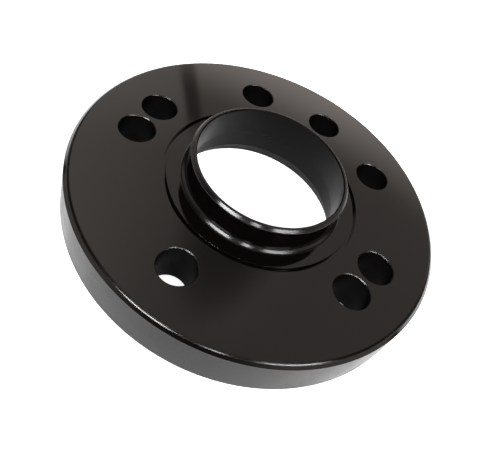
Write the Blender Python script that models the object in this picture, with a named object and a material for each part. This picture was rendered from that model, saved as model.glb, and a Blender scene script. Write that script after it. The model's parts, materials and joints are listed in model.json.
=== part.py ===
"""Hub-centric wheel spacer, bolt-through type, as one turned and drilled aluminium piece.

The spacer is a thick flat disc. A thin-walled centring lip stands on its wheel side and carries the
wheel's centre bore. A counterbore in the hub side slips over the vehicle hub's spigot. Eight plain
holes let the wheel bolts through: four of them lie on the 4-bolt pattern and five on the 5-bolt
pattern, both on the same pitch circle, and the two patterns share the hole at -Y.

Frame: origin at the centre of the hub-side face, +Z along the axis towards the lip, the hole that
both patterns share at -Y. Lengths are in metres.
"""

import math

import bmesh
import bpy
from mathutils import Matrix, Vector

MM = 0.001

# Disc
DISC_RADIUS = 75.0 * MM
DISC_THICKNESS = 18.0 * MM
WHEEL_EDGE_CHAMFER = 1.5 * MM
HUB_EDGE_CHAMFER = 1.0 * MM

# Centring lip on the wheel side
LIP_OUTER_RADIUS = 31.7 * MM
LIP_BORE_RADIUS = 29.5 * MM
LIP_HEIGHT = 12.0 * MM
LIP_LEAD_IN = 1.0 * MM
LIP_EDGE_BREAK = 0.5 * MM
LIP_ROOT_CHAMFER = 1.2 * MM

# Counterbore for the vehicle hub, opened out by a taper at the hub face
HUB_BORE_RADIUS = 31.75 * MM
HUB_TAPER_WIDTH = 4.0 * MM
HUB_TAPER_DEPTH = 7.0 * MM
LIP_BORE_DEPTH = 1.0 * MM  # how far the lip's bore runs on below the wheel face

# Square groove in the wheel face, round the lip
GROOVE_RADIUS = 39.4 * MM
GROOVE_WIDTH = 1.5 * MM
GROOVE_DEPTH = 1.5 * MM

# Bolt holes
PITCH_RADIUS = 54.0 * MM
HOLE_RADIUS = 7.25 * MM
HOLE_CHAMFER = 0.3 * MM
SHARED_HOLE_ANGLE = -math.pi / 2
BOLT_PATTERNS = (4, 5)

# Facets
TURNED_STEPS = 72
HOLE_STEPS = 24
SHARP_ANGLE = math.radians(25)

CUTTER_OVERRUN = 1.0 * MM
SAME_ANGLE = math.radians(0.5)


def clear_scene():
    """Removes whatever the file holds, such as the default cube."""
    for old in list(bpy.data.objects):
        bpy.data.objects.remove(old, do_unlink=True)


def anodised_material():
    """Black anodised aluminium with a satin gloss."""
    material = bpy.data.materials.new("black_anodised_aluminium")
    material.use_nodes = True
    shader = material.node_tree.nodes["Principled BSDF"]
    shader.inputs["Base Color"].default_value = (0.022, 0.020, 0.019, 1.0)
    shader.inputs["Metallic"].default_value = 0.6
    shader.inputs["Roughness"].default_value = 0.28
    return material


def turned(bm, profile, steps):
    """Turns a closed outline of (radius, height) points into a ring about Z."""
    verts = [bm.verts.new((radius, 0.0, height)) for radius, height in profile]
    edges = [bm.edges.new((a, b)) for a, b in zip(verts, verts[1:] + verts[:1])]
    bmesh.ops.spin(
        bm,
        geom=verts + edges,
        cent=Vector((0, 0, 0)),
        axis=Vector((0, 0, 1)),
        angle=2 * math.pi,
        steps=steps,
        use_merge=True,
    )


def finish_mesh(bm, name):
    """Points the faces outwards and hands the shape over as a mesh."""
    bmesh.ops.recalc_face_normals(bm, faces=bm.faces)
    mesh = bpy.data.meshes.new(name)
    bm.to_mesh(mesh)
    bm.free()
    return mesh


def spacer_outline():
    """The spacer's half section, round the material from the hub face outwards and up."""
    face = DISC_THICKNESS
    top = face + LIP_HEIGHT
    groove_in = GROOVE_RADIUS - GROOVE_WIDTH / 2
    groove_out = GROOVE_RADIUS + GROOVE_WIDTH / 2
    groove_floor = face - GROOVE_DEPTH
    step_top = face - LIP_BORE_DEPTH
    step_bottom = step_top - (HUB_BORE_RADIUS - LIP_BORE_RADIUS)
    hub_side = [
        (HUB_BORE_RADIUS + HUB_TAPER_WIDTH, 0.0),
        (DISC_RADIUS - HUB_EDGE_CHAMFER, 0.0),
    ]
    rim = [
        (DISC_RADIUS, HUB_EDGE_CHAMFER),
        (DISC_RADIUS, face - WHEEL_EDGE_CHAMFER),
        (DISC_RADIUS - WHEEL_EDGE_CHAMFER, face),
    ]
    groove = [
        (groove_out, face),
        (groove_out, groove_floor),
        (groove_in, groove_floor),
        (groove_in, face),
    ]
    lip = [
        (LIP_OUTER_RADIUS + LIP_ROOT_CHAMFER, face),
        (LIP_OUTER_RADIUS, face + LIP_ROOT_CHAMFER),
        (LIP_OUTER_RADIUS, top - LIP_LEAD_IN),
        (LIP_OUTER_RADIUS - LIP_LEAD_IN, top),
        (LIP_BORE_RADIUS + LIP_EDGE_BREAK, top),
        (LIP_BORE_RADIUS, top - LIP_EDGE_BREAK),
    ]
    bore = [
        (LIP_BORE_RADIUS, step_top),
        (HUB_BORE_RADIUS, step_bottom),
        (HUB_BORE_RADIUS, HUB_TAPER_DEPTH),
    ]
    return hub_side + rim + groove + lip + bore


def hole_angles():
    """The angles of both bolt patterns, with a hole that they share counted once."""
    angles = []
    for count in BOLT_PATTERNS:
        for i in range(count):
            angle = (SHARED_HOLE_ANGLE + i * 2 * math.pi / count) % (2 * math.pi)
            if all(abs(angle - known) > SAME_ANGLE for known in angles):
                angles.append(angle)
    return angles


def hole_outline():
    """Half section of one bolt-hole cutter: a plain drill with a 45 degree chamfer at each face."""
    flare = HOLE_RADIUS + HOLE_CHAMFER + CUTTER_OVERRUN
    return [
        (0.0, -CUTTER_OVERRUN),
        (flare, -CUTTER_OVERRUN),
        (HOLE_RADIUS, HOLE_CHAMFER),
        (HOLE_RADIUS, DISC_THICKNESS - HOLE_CHAMFER),
        (flare, DISC_THICKNESS + CUTTER_OVERRUN),
        (0.0, DISC_THICKNESS + CUTTER_OVERRUN),
    ]


def hole_cutter():
    """One guide object with a cutting body at every bolt hole."""
    bm = bmesh.new()
    for angle in hole_angles():
        before = set(bm.verts)
        turned(bm, hole_outline(), HOLE_STEPS)
        place = Vector((PITCH_RADIUS * math.cos(angle), PITCH_RADIUS * math.sin(angle), 0))
        new = [v for v in bm.verts if v not in before]
        bmesh.ops.transform(bm, matrix=Matrix.Translation(place), verts=new)
    bmesh.ops.remove_doubles(bm, verts=bm.verts, dist=0.01 * MM)
    cutter = bpy.data.objects.new("bolt_hole_cutter", finish_mesh(bm, "bolt_hole_cutter"))
    bpy.context.collection.objects.link(cutter)
    cutter.hide_render = True
    cutter.display_type = "WIRE"
    return cutter


def wheel_spacer():
    """The whole part: the turned blank with its bolt holes cut through."""
    bm = bmesh.new()
    turned(bm, spacer_outline(), TURNED_STEPS)
    mesh = finish_mesh(bm, "wheel_spacer")
    mesh.shade_smooth()
    mesh.set_sharp_from_angle(angle=SHARP_ANGLE)
    mesh.materials.append(anodised_material())
    spacer = bpy.data.objects.new("wheel_spacer", mesh)
    bpy.context.collection.objects.link(spacer)
    drill = spacer.modifiers.new("bolt_holes", "BOOLEAN")
    drill.operation = "DIFFERENCE"
    drill.solver = "EXACT"
    drill.object = hole_cutter()
    return spacer


clear_scene()
wheel_spacer()
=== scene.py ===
"""Looks of the hub-centric wheel spacer: a finely rounded surface over the CAD solid, its black
anodised finishes, a plain pale floor, studio light and the camera.

Everything is in metres, in the frame of the CAD model: +Z runs along the axis towards the lip, and
the bolt hole that both patterns share lies at -Y.
"""

import json
import math

import bmesh
import bpy
from mathutils import Matrix, Vector


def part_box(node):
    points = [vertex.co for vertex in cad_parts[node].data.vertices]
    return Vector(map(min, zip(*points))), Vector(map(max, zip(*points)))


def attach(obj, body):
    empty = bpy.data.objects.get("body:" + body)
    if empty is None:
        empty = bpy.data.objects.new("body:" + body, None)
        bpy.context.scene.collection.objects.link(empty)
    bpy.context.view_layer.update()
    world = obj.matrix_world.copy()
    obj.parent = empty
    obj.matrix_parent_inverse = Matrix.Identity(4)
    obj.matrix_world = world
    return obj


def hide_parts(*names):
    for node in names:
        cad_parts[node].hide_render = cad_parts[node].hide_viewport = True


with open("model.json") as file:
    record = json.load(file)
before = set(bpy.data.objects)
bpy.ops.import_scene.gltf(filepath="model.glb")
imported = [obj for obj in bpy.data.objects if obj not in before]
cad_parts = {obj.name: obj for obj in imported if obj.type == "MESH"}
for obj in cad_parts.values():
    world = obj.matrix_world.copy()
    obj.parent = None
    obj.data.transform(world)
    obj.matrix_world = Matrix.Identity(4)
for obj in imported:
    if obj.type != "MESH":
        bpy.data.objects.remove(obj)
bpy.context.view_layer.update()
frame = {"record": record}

MM = 0.001

# Disc and lip, from the CAD node's box and the wheel-face mount
LOW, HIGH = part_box("wheel_spacer")
MOUNTS = {mount["name"]: mount for mount in frame["record"]["mounts"]}
DISC_RADIUS = (HIGH.x - LOW.x) / 2
FACE = MOUNTS["wheel_face"]["pos_m"][2]
LIP_TOP = HIGH.z

WHEEL_EDGE_CHAMFER = 1.5 * MM
HUB_EDGE_ROUND = 1.0 * MM
LIP_OUTER_RADIUS = 31.7 * MM
LIP_BORE_RADIUS = 29.5 * MM
LIP_LEAD_IN = 1.0 * MM
LIP_EDGE_BREAK = 0.5 * MM
LIP_ROOT_CHAMFER = 1.2 * MM
LIP_BORE_DEPTH = 1.0 * MM
HUB_BORE_RADIUS = 31.75 * MM
HUB_TAPER_WIDTH = 4.0 * MM
HUB_TAPER_DEPTH = 7.0 * MM

# Relief groove
GROOVE_RADIUS = 39.4 * MM
GROOVE_WIDTH = 1.5 * MM
GROOVE_DEPTH = 1.5 * MM

# Bolt holes
PITCH_RADIUS = 54.0 * MM
HOLE_RADIUS = 7.25 * MM
HOLE_CHAMFER = 0.3 * MM
SHARED_HOLE_ANGLE = -math.pi / 2
BOLT_PATTERNS = (4, 5)
SAME_ANGLE = math.radians(0.5)

# Corner roundings: the disc's wheel-side edge, the lip's rim and root, and the rest
WORN_CORNER = 1.7 * MM
LIP_CORNER = 0.5 * MM
ROOT_CORNER = 1.1 * MM
SOFT_CORNER = 0.25 * MM
CRISP_CORNER = 0.05 * MM
WORN_REACH = 0.42 * WORN_CORNER  # just past the end of a 45 degree corner's arc

# Fineness of the surface
TURNED_STEPS = 288
HOLE_STEPS = 72
ARC_STEP = math.radians(10)
FACE_MARGIN = 1.0 * MM  # the part of a flat face that belongs to a turned strip
HOLE_MARGIN = 0.5 * MM

# Material slots of the surface; the counterbore's step and taper are finished as the holes are. The
# bore's and the holes' finishes reflect far less than the rest: painted shade inside them.
FACE_FINISH, LIP_FINISH, RIM_FINISH, SHADED_BORE_FINISH, SHADED_HOLE_FINISH, HUB_FINISH = range(6)

# Black dyed anodising
DYE = (0.0019, 0.0015, 0.0013)
OXIDE_IOR = 1.65
TURNING_MARKS = 0.2
DEEP_TURNING_MARKS = 0.8
ACROSS_THE_MARKS = 0.25  # of a full turn
MOTTLE_SIZE = 14 * MM
MOTTLE_SPREAD = 0.15  # of the roughness
GRAIN_DETAIL = 3.0
NOISE_LIMITS = (0.3, 0.7)
# The rim's specular level head-on, and a lower one at a slant that is painted shade
RIM_SPECULAR = 0.4
RIM_SPECULAR_PAINTED_SHADE = 0.085
GRAZING_LIMITS = (0.2, 0.5)  # 0 is seen head-on, 1 edge-on

# Floor
FLOOR_HALF_WIDTH = 3.0
FLOOR_GAP = 0.05 * MM
FLOOR_COLOUR = (0.9, 0.9, 0.9)

# Camera
CAMERA_AIM = Vector((-2.4, 0.1, 15.0)) * MM
CAMERA_AZIMUTH = math.radians(14.8)
CAMERA_ELEVATION = math.radians(45.16)
CAMERA_DISTANCE = 0.221
CAMERA_ROLL = math.radians(26.15)
CAMERA_LENS = 39.7
CAMERA_SHIFT = (-0.012, -0.08)
CAMERA_CLIP_START = 0.01

# Light: lengths in metres, and radiances where 1 shows as white
FILL_DISTANCE = 2.0
FILL_SIZE = (0.25, 0.25)
FILL_RADIANCE = 25.0
# Painted light: the floor's own glow, brightest round the part, which fills in the part's shadow
FLOOR_GLOW = 0.85
FLOOR_GLOW_FAR = 0.1
FLOOR_GLOW_FADE = (0.25, 0.7)  # distances from the part's foot
KEY_DISTANCE = 1.0
KEY_ELEVATION = 39.5  # degrees
KEY_HEIGHT = 0.12
KEY_LIGHTS = (  # degrees rightwards of the camera, width in metres, radiance
    (-24, 0.41, 44.0),
    (15, 0.13, 27.0),
    (55, 0.43, 32.0),
)
PLAIN_SURROUND = (0.4, 0.4, 0.4)

# What reflections find round the part. Each ramp gives a start and an end, in degrees upwards from
# level or leftwards from straight behind the part, and then the value at each.
WARM_WALL = (1.0, 0.90, 0.84)
WALL_FOOT = (33, 39.5, 1.75, 0.42)
WALL_HEAD = (58, 64, 1.0, 0.85)
WALL_RIGHT_PART = (-16, -4, 0.85, 1.0)
POST_LEAN = 0.6
POST_LEAN_HEIGHT = 38.0
POST_RIGHT_SIDE = (12.1, 12.8, 0.0, 1.0)
POST_LEFT_SIDE = (14.1, 14.9, 1.0, 0.0)
POST_HEAD = (41, 43, 0.72, 0.0)
POST_FOOT = (34, 38, 0.4, 1.0)
PANEL_SIDE = (14.1, 14.9, 0.0, 1.0)
PANEL_UPWARDS = (38, 46, 0.8, 0.56)
PANEL_LEFTWARDS = (4, 30, 0.68, 1.28)
ROOM_BELOW = (20, 31, 0.2, 1.0)
ROOM_ABOVE = (63, 76, 1.0, 0.05)
CEILING = (63, 75, 0.0, 0.3)
ROOM_RIGHT_END = (-48, -32, 0.0, 1.0)
ROOM_LEFT_END = (32, 48, 1.0, 0.0)
SHADE_HEIGHT = 51.5
SHADE = (0, 110, 0.25, 1.0)  # over the square of the angle from its middle
SIDE_BAND_BELOW = (0, 4, 0.0, 1.0)
SIDE_BAND_ABOVE = (20, 28, 1.0, 0.0)
SIDE_BAND_ENDS = (55, 75, 0.0, 0.45)
CAMERA_SIDE_GLOW = 0.03


# ---------------------------------------------------------------- surface


def right_of(direction):
    """The unit vector to the right of a travel direction, given as an angle."""
    return Vector((math.sin(direction), -math.cos(direction)))


def travel(a, b):
    """The travel direction from one outline point to the next, as an angle."""
    return math.atan2(b[1] - a[1], b[0] - a[0])


def rounded(corners):
    """Rounds an open outline of (radius, height, rounding, finish) corners.

    The material lies to the left of the way along it. Returns (radius, height, normal, finish)
    points, where the finish is that of the stretch which starts there.
    """
    first, last = corners[0], corners[-1]
    points = [(first[0], first[1], right_of(travel(first, corners[1])), first[3])]
    for before, corner, after in zip(corners, corners[1:], corners[2:]):
        way_in = travel(before, corner)
        turn = (travel(corner, after) - way_in + math.pi) % (2 * math.pi) - math.pi
        side = math.copysign(corner[2], turn)
        reach = corner[2] * math.tan(abs(turn) / 2)
        start = Vector(corner[:2]) - reach * Vector((math.cos(way_in), math.sin(way_in)))
        centre = start - side * right_of(way_in)
        steps = max(2, math.ceil(abs(turn) / ARC_STEP))
        for i in range(steps + 1):
            normal = right_of(way_in + turn * i / steps)
            place = centre + side * normal
            points.append((place.x, place.y, normal, corner[3]))
    points.append((last[0], last[1], right_of(travel(corners[-2], last)), last[3]))
    return points


class Surface:
    """A closed surface put together from turned strips and flat faces, with exact normals."""

    def __init__(self):
        self.bm = bmesh.new()
        self.normals = []

    def vertex(self, place, normal):
        """A vertex whose shading normal is kept for later."""
        vert = self.bm.verts.new(place)
        self.normals.append(normal)
        return vert

    def ring(self, centre, radius, height, normal, steps):
        """A ring of vertices about the vertical line through centre."""
        verts = []
        for i in range(steps):
            angle = 2 * math.pi * i / steps
            out = Vector((math.cos(angle), math.sin(angle), 0))
            place = centre + out * radius + Vector((0, 0, height))
            verts.append(self.vertex(place, out * normal.x + Vector((0, 0, normal.y))))
        return verts

    def strip(self, corners, centre, steps):
        """Turns a rounded outline about the vertical line through centre."""
        points = rounded(corners)
        rings = [self.ring(centre, r, z, n, steps) for r, z, n, _ in points]
        for i in range(len(rings) - 1):
            for k in range(steps):
                near, far = rings[i], rings[i + 1]
                j = (k + 1) % steps
                face = self.bm.faces.new((near[k], near[j], far[j], far[k]))
                face.material_index = points[i][3]
        return rings[0], rings[-1]

    def flat(self, loops, finish):
        """Fills the plane between closed loops of vertices."""
        edges = []
        for loop in loops:
            edges += [self.bm.edges.get((a, b)) for a, b in zip(loop, loop[1:] + loop[:1])]
        filled = bmesh.ops.triangle_fill(self.bm, use_beauty=True, use_dissolve=False, edges=edges)
        for face in filled["geom"]:
            if isinstance(face, bmesh.types.BMFace):
                face.material_index = finish

    def mesh(self, name):
        """The finished mesh, facing outwards and shaded with its exact normals."""
        bmesh.ops.recalc_face_normals(self.bm, faces=self.bm.faces)
        mesh = bpy.data.meshes.new(name)
        self.bm.to_mesh(mesh)
        self.bm.free()
        mesh.shade_smooth()
        mesh.normals_split_custom_set_from_vertices(self.normals)
        return mesh


def outer_outline():
    """From the hub face round the disc's rim to the wheel face."""
    wheel_edge = DISC_RADIUS - WHEEL_EDGE_CHAMFER
    return [
        (DISC_RADIUS - HUB_EDGE_ROUND - FACE_MARGIN, 0.0, 0.0, HUB_FINISH),
        (DISC_RADIUS, 0.0, HUB_EDGE_ROUND, RIM_FINISH),
        (DISC_RADIUS, FACE - WHEEL_EDGE_CHAMFER, SOFT_CORNER, FACE_FINISH),
        (wheel_edge, FACE, WORN_CORNER, LIP_FINISH),
        (wheel_edge - WORN_REACH, FACE, 0.0, FACE_FINISH),
    ]


def inner_outline():
    """From the wheel face over the groove, the lip and the bore down to the hub face."""
    groove_in = GROOVE_RADIUS - GROOVE_WIDTH / 2
    groove_out = GROOVE_RADIUS + GROOVE_WIDTH / 2
    groove_floor = FACE - GROOVE_DEPTH
    step_top = FACE - LIP_BORE_DEPTH
    step_bottom = step_top - (HUB_BORE_RADIUS - LIP_BORE_RADIUS)
    hub_edge = HUB_BORE_RADIUS + HUB_TAPER_WIDTH
    return [
        (groove_out + FACE_MARGIN, FACE, 0.0, FACE_FINISH),
        (groove_out, FACE, CRISP_CORNER, FACE_FINISH),
        (groove_out, groove_floor, CRISP_CORNER, FACE_FINISH),
        (groove_in, groove_floor, CRISP_CORNER, FACE_FINISH),
        (groove_in, FACE, CRISP_CORNER, FACE_FINISH),
        (LIP_OUTER_RADIUS + LIP_ROOT_CHAMFER, FACE, ROOT_CORNER, LIP_FINISH),
        (LIP_OUTER_RADIUS, FACE + LIP_ROOT_CHAMFER, ROOT_CORNER, FACE_FINISH),
        (LIP_OUTER_RADIUS, LIP_TOP - LIP_LEAD_IN, LIP_CORNER, LIP_FINISH),
        (LIP_OUTER_RADIUS - LIP_LEAD_IN, LIP_TOP, LIP_CORNER, LIP_FINISH),
        (LIP_BORE_RADIUS, LIP_TOP, LIP_EDGE_BREAK, SHADED_BORE_FINISH),
        (LIP_BORE_RADIUS, step_top, CRISP_CORNER, SHADED_HOLE_FINISH),
        (HUB_BORE_RADIUS, step_bottom, SOFT_CORNER, SHADED_BORE_FINISH),
        (HUB_BORE_RADIUS, HUB_TAPER_DEPTH, SOFT_CORNER, SHADED_HOLE_FINISH),
        (hub_edge, 0.0, SOFT_CORNER, HUB_FINISH),
        (hub_edge + FACE_MARGIN, 0.0, 0.0, HUB_FINISH),
    ]


def hole_outline():
    """Down a bolt hole, from the wheel face to the hub face, chamfered at both."""
    flared = HOLE_RADIUS + HOLE_CHAMFER
    return [
        (flared + HOLE_MARGIN, FACE, 0.0, FACE_FINISH),
        (flared, FACE, CRISP_CORNER, RIM_FINISH),
        (HOLE_RADIUS, FACE - HOLE_CHAMFER, CRISP_CORNER, SHADED_HOLE_FINISH),
        (HOLE_RADIUS, HOLE_CHAMFER, CRISP_CORNER, SHADED_HOLE_FINISH),
        (flared, 0.0, CRISP_CORNER, HUB_FINISH),
        (flared + HOLE_MARGIN, 0.0, 0.0, HUB_FINISH),
    ]


def hole_places():
    """The bolt holes' axes: both patterns, with a hole that they share taken once."""
    angles = []
    for count in BOLT_PATTERNS:
        for i in range(count):
            angle = (SHARED_HOLE_ANGLE + i * 2 * math.pi / count) % (2 * math.pi)
            if all(abs(angle - known) > SAME_ANGLE for known in angles):
                angles.append(angle)
    return [Vector((math.cos(a), math.sin(a), 0)) * PITCH_RADIUS for a in angles]


def spacer_mesh():
    """The whole surface of the spacer."""
    surface = Surface()
    axis = Vector((0, 0, 0))
    hub_rim, wheel_rim = surface.strip(outer_outline(), axis, TURNED_STEPS)
    wheel_inner, hub_inner = surface.strip(inner_outline(), axis, TURNED_STEPS)
    wheel_loops = [wheel_rim, wheel_inner]
    hub_loops = [hub_rim, hub_inner]
    for place in hole_places():
        top, bottom = surface.strip(hole_outline(), place, HOLE_STEPS)
        wheel_loops.append(top)
        hub_loops.append(bottom)
    surface.flat(wheel_loops, FACE_FINISH)
    surface.flat(hub_loops, HUB_FINISH)
    return surface.mesh("spacer_surface")


# ---------------------------------------------------------------- materials


class Nodes:
    """A short way to write a material's node tree."""

    def __init__(self, material):
        material.use_nodes = True
        self.tree = material.node_tree
        self.shader = self.tree.nodes["Principled BSDF"]

    def add(self, kind, **values):
        """A new node with some of its settings."""
        node = self.tree.nodes.new(kind)
        for name, value in values.items():
            setattr(node, name, value)
        return node

    def link(self, source, target):
        self.tree.links.new(source, target)

    def noise(self, size, detail=2.0):
        """Noise with features of about that size, in metres of the object."""
        place = self.add("ShaderNodeTexCoord")
        noise = self.add("ShaderNodeTexNoise")
        noise.inputs["Scale"].default_value = 1 / size
        noise.inputs["Detail"].default_value = detail
        self.link(place.outputs["Object"], noise.inputs["Vector"])
        return noise.outputs["Fac"]

    def span(self, value, limits, low, high):
        """Maps a value that runs between the limits to one that runs from low to high."""
        ramp = self.add("ShaderNodeMapRange")
        ramp.inputs["From Min"].default_value = limits[0]
        ramp.inputs["From Max"].default_value = limits[1]
        ramp.inputs["To Min"].default_value = low
        ramp.inputs["To Max"].default_value = high
        self.link(value, ramp.inputs["Value"])
        return ramp.outputs["Result"]

    def bump(self, height, depth):
        """Relief of that depth, in metres."""
        bump = self.add("ShaderNodeBump")
        bump.inputs["Distance"].default_value = depth
        self.link(height, bump.inputs["Height"])
        return bump.outputs["Normal"]


def anodised(name, roughness, specular, grain_size, grain_depth, marks=TURNING_MARKS):
    """Black dyed anodising: a thin glassy oxide layer over near-black turned metal."""
    material = bpy.data.materials.new(name)
    nodes = Nodes(material)
    shader = nodes.shader
    shader.inputs["Base Color"].default_value = (*DYE, 1)
    shader.inputs["Metallic"].default_value = 0.0
    shader.inputs["IOR"].default_value = OXIDE_IOR
    shader.inputs["Specular IOR Level"].default_value = specular
    shader.inputs["Anisotropic"].default_value = marks
    shader.inputs["Anisotropic Rotation"].default_value = ACROSS_THE_MARKS
    mottle = nodes.noise(MOTTLE_SIZE)
    smoothest = roughness * (1 - MOTTLE_SPREAD)
    roughest = roughness * (1 + MOTTLE_SPREAD)
    varied = nodes.span(mottle, NOISE_LIMITS, smoothest, roughest)
    nodes.link(varied, shader.inputs["Roughness"])
    grain = nodes.noise(grain_size, GRAIN_DETAIL)
    nodes.link(nodes.bump(grain, grain_depth), shader.inputs["Normal"])
    tangent = nodes.add("ShaderNodeTangent", direction_type="RADIAL", axis="Z")
    nodes.link(tangent.outputs["Tangent"], shader.inputs["Tangent"])
    return material


def rim_with_painted_shade():
    """The rim's finish, with painted shade: its reflection is turned down where it is seen at a
    slant, which darkens it as the shade on the floor in front of it would.
    """
    material = anodised("anodised_rim", 0.27, RIM_SPECULAR, 0.35 * MM, 0.020 * MM)
    nodes = Nodes(material)
    slant = nodes.add("ShaderNodeLayerWeight")
    facing = slant.outputs["Facing"]
    specular = nodes.span(facing, GRAZING_LIMITS, RIM_SPECULAR, RIM_SPECULAR_PAINTED_SHADE)
    nodes.link(specular, nodes.shader.inputs["Specular IOR Level"])
    return material


def finishes():
    """The materials, in the order of the surface's slots.

    The numbers are roughness, specular level, and the grain's size and depth.
    """
    return [
        anodised("anodised_face", 0.06, 0.5, 0.5 * MM, 0.0005 * MM),
        anodised("anodised_lip", 0.24, 0.5, 0.5 * MM, 0.0008 * MM, DEEP_TURNING_MARKS),
        rim_with_painted_shade(),
        # Painted shade: the bore's specular level is cut far down, which darkens its walls as the
        # shade inside it would.
        anodised("anodised_bore", 0.38, 0.055, 0.4 * MM, 0.004 * MM),
        # Painted shade: the holes' specular level is cut further still, so their walls read as dark
        # as the shade in them would make them.
        anodised("anodised_hole", 0.50, 0.02, 0.4 * MM, 0.006 * MM),
        anodised("anodised_hub_face", 0.20, 0.5, 0.4 * MM, 0.001 * MM),
    ]


def make_spacer():
    """The spacer's visual surface with its finishes, in place of the CAD node."""
    spacer = bpy.data.objects.new("wheel_spacer_body", spacer_mesh())
    bpy.context.collection.objects.link(spacer)
    for material in finishes():
        spacer.data.materials.append(material)
    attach(spacer, "root")
    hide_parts("wheel_spacer")
    return spacer


# ---------------------------------------------------------------- stage


def from_angles(azimuth, elevation):
    """Unit vector towards a place: azimuth 0 is -Y, and it grows towards +X."""
    level = math.cos(elevation)
    return Vector((math.sin(azimuth) * level, -math.cos(azimuth) * level, math.sin(elevation)))


def make_camera():
    """A camera that looks at the part from above its near edge, rolled to the right."""
    data = bpy.data.cameras.new("camera")
    data.lens = CAMERA_LENS
    data.shift_x, data.shift_y = CAMERA_SHIFT
    data.clip_start = CAMERA_CLIP_START
    camera = bpy.data.objects.new("camera", data)
    bpy.context.collection.objects.link(camera)
    back = from_angles(CAMERA_AZIMUTH, CAMERA_ELEVATION)
    right = Vector((math.cos(CAMERA_AZIMUTH), math.sin(CAMERA_AZIMUTH), 0))
    upright = Matrix((right, back.cross(right), back)).transposed()
    roll = Matrix.Rotation(CAMERA_ROLL, 3, "Z")
    turn = (upright @ roll).to_4x4()
    camera.matrix_world = Matrix.Translation(CAMERA_AIM + back * CAMERA_DISTANCE) @ turn
    bpy.context.scene.camera = camera


def floor_material():
    """Plain, pale and matt, with painted light: a glow of its own that fades out away from the part
    and fills in the part's shadow round it.
    """
    material = bpy.data.materials.new("floor")
    nodes = Nodes(material)
    nodes.shader.inputs["Base Color"].default_value = (*FLOOR_COLOUR, 1)
    nodes.shader.inputs["Roughness"].default_value = 1.0
    nodes.shader.inputs["Specular IOR Level"].default_value = 0.0
    nodes.shader.inputs["Emission Color"].default_value = (1, 1, 1, 1)
    place = nodes.add("ShaderNodeTexCoord")
    distance = nodes.add("ShaderNodeVectorMath", operation="LENGTH")
    nodes.link(place.outputs["Object"], distance.inputs[0])
    glow = nodes.span(distance.outputs["Value"], FLOOR_GLOW_FADE, FLOOR_GLOW, FLOOR_GLOW_FAR)
    nodes.link(glow, nodes.shader.inputs["Emission Strength"])
    return material


def make_floor():
    """The floor under the hub face."""
    half = FLOOR_HALF_WIDTH
    height = LOW.z - FLOOR_GAP
    corners = [(-half, -half), (half, -half), (half, half), (-half, half)]
    mesh = bpy.data.meshes.new("floor")
    mesh.from_pydata([(x, y, height) for x, y in corners], [], [(0, 1, 2, 3)])
    floor = bpy.data.objects.new("floor", mesh)
    bpy.context.collection.objects.link(floor)
    mesh.materials.append(floor_material())


def softbox(name, azimuth, elevation, distance, size, radiance):
    """A rectangular area light that faces the part; angles in degrees, size in metres."""
    data = bpy.data.lights.new(name, "AREA")
    data.shape = "RECTANGLE"
    data.size, data.size_y = size
    data.energy = radiance * math.pi * size[0] * size[1]
    light = bpy.data.objects.new(name, data)
    bpy.context.collection.objects.link(light)
    way = from_angles(math.radians(azimuth), math.radians(elevation))
    light.location = way * distance
    light.rotation_euler = way.to_track_quat("Z", "Y").to_euler()
    return light


def make_lights():
    """A fill from straight above, and three narrow key lights on the camera's side."""
    fill = softbox("fill", 0, 90, FILL_DISTANCE, FILL_SIZE, FILL_RADIANCE)
    fill.visible_glossy = False
    for number, (aside, width, radiance) in enumerate(KEY_LIGHTS):
        azimuth = math.degrees(CAMERA_AZIMUTH) + aside
        size = (width, KEY_HEIGHT)
        softbox(f"key_{number}", azimuth, KEY_ELEVATION, KEY_DISTANCE, size, radiance)


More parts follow.
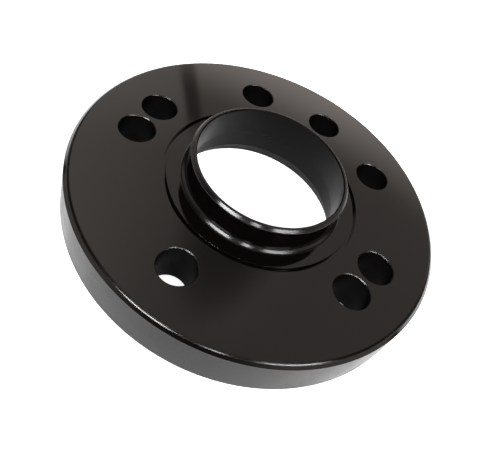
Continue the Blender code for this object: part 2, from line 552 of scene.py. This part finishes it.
class Studio:
    """Node helpers for the brightness that reflections find in each direction."""

    def __init__(self, tree):
        self.tree = tree

    def math(self, operation, *values):
        """The result of a math node, for values that are numbers or other nodes' results."""
        node = self.tree.nodes.new("ShaderNodeMath")
        node.operation = operation
        for socket, value in zip(node.inputs, values):
            if isinstance(value, bpy.types.NodeSocket):
                self.tree.links.new(value, socket)
            else:
                socket.default_value = value
        return node.outputs[0]

    def ramp(self, value, start, end, low, high):
        """Runs softly from low at start to high at end."""
        node = self.tree.nodes.new("ShaderNodeMapRange")
        node.interpolation_type = "SMOOTHSTEP"
        self.tree.links.new(value, node.inputs["Value"])
        node.inputs["From Min"].default_value = start
        node.inputs["From Max"].default_value = end
        node.inputs["To Min"].default_value = low
        node.inputs["To Max"].default_value = high
        return node.outputs["Result"]

    def directions(self):
        """Angles in degrees: leftwards from straight behind the part, and up from level."""
        place = self.tree.nodes.new("ShaderNodeTexCoord")
        turn = self.tree.nodes.new("ShaderNodeVectorRotate")
        turn.rotation_type = "Z_AXIS"
        turn.inputs["Angle"].default_value = -CAMERA_AZIMUTH
        parts = self.tree.nodes.new("ShaderNodeSeparateXYZ")
        self.tree.links.new(place.outputs["Generated"], turn.inputs["Vector"])
        self.tree.links.new(turn.outputs["Vector"], parts.inputs["Vector"])
        leftwards = self.math("MULTIPLY", parts.outputs["X"], -1.0)
        left = self.math("ARCTAN2", leftwards, parts.outputs["Y"])
        up = self.math("ARCSINE", parts.outputs["Z"])
        return self.math("DEGREES", left), self.math("DEGREES", up)

    def product(self, *values):
        """All the values multiplied together."""
        result = values[0]
        for value in values[1:]:
            result = self.math("MULTIPLY", result, value)
        return result

    def squares(self, first, second):
        """The sum of two values' squares."""
        return self.math("ADD", self.product(first, first), self.product(second, second))

    def leaning(self, left, up):
        """The angle leftwards, measured along lines that lean as the post does."""
        rise = self.math("SUBTRACT", up, POST_LEAN_HEIGHT)
        return self.math("ADD", left, self.product(rise, POST_LEAN))

    def post(self, across, up):
        """How much a leaning post hides of the wall behind it."""
        width = self.product(self.ramp(across, *POST_RIGHT_SIDE), self.ramp(across, *POST_LEFT_SIDE))
        return self.product(width, self.ramp(up, *POST_HEAD), self.ramp(up, *POST_FOOT))

    def panel(self, across, left, up):
        """A panel that stands before the left part of the wall, from the post on."""
        outline = self.product(self.ramp(across, *PANEL_SIDE), self.ramp(up, *PANEL_UPWARDS))
        return self.product(outline, self.ramp(left, *PANEL_LEFTWARDS))

    def side_band(self, left, up):
        """A dim strip low down at both sides."""
        strip = self.product(self.ramp(up, *SIDE_BAND_BELOW), self.ramp(up, *SIDE_BAND_ABOVE))
        return self.product(strip, self.ramp(self.math("ABSOLUTE", left), *SIDE_BAND_ENDS))

    def brightness(self):
        """A wall behind the part, bright at its foot, with the post, the panel and a soft shade."""
        left, up = self.directions()
        across = self.leaning(left, up)
        wall = self.product(
            self.ramp(up, *WALL_FOOT),
            self.ramp(up, *WALL_HEAD),
            self.ramp(left, *WALL_RIGHT_PART),
            self.math("SUBTRACT", 1.0, self.post(across, up)),
        )
        from_shade = self.squares(left, self.math("SUBTRACT", up, SHADE_HEIGHT))
        room = self.product(
            self.math("MAXIMUM", wall, self.panel(across, left, up)),
            self.ramp(up, *ROOM_BELOW),
            self.ramp(up, *ROOM_ABOVE),
            self.ramp(left, *ROOM_RIGHT_END),
            self.ramp(left, *ROOM_LEFT_END),
            self.ramp(from_shade, *SHADE),
        )
        with_sides = self.math("ADD", room, self.side_band(left, up))
        closed = self.math("MAXIMUM", with_sides, self.ramp(up, *CEILING))
        return self.math("ADD", closed, CAMERA_SIDE_GLOW)


def make_world():
    """Reflections see the studio; the eye and the matt floor see a plain pale surround."""
    world = bpy.data.worlds.new("studio")
    bpy.context.scene.world = world
    world.use_nodes = True
    tree = world.node_tree
    studio = Studio(tree)
    output = tree.nodes["World Output"]
    plain = tree.nodes["Background"]
    plain.inputs["Color"].default_value = (*PLAIN_SURROUND, 1)
    reflected = tree.nodes.new("ShaderNodeBackground")
    reflected.inputs["Color"].default_value = (*WARM_WALL, 1)
    tree.links.new(studio.brightness(), reflected.inputs["Strength"])
    path = tree.nodes.new("ShaderNodeLightPath")
    mix = tree.nodes.new("ShaderNodeMixShader")
    tree.links.new(path.outputs["Is Glossy Ray"], mix.inputs["Fac"])
    tree.links.new(plain.outputs["Background"], mix.inputs[1])
    tree.links.new(reflected.outputs["Background"], mix.inputs[2])
    tree.links.new(mix.outputs["Shader"], output.inputs["Surface"])


scene = bpy.context.scene
scene.view_settings.view_transform = "Standard"
make_camera()
make_spacer()
make_floor()
make_lights()
make_world()
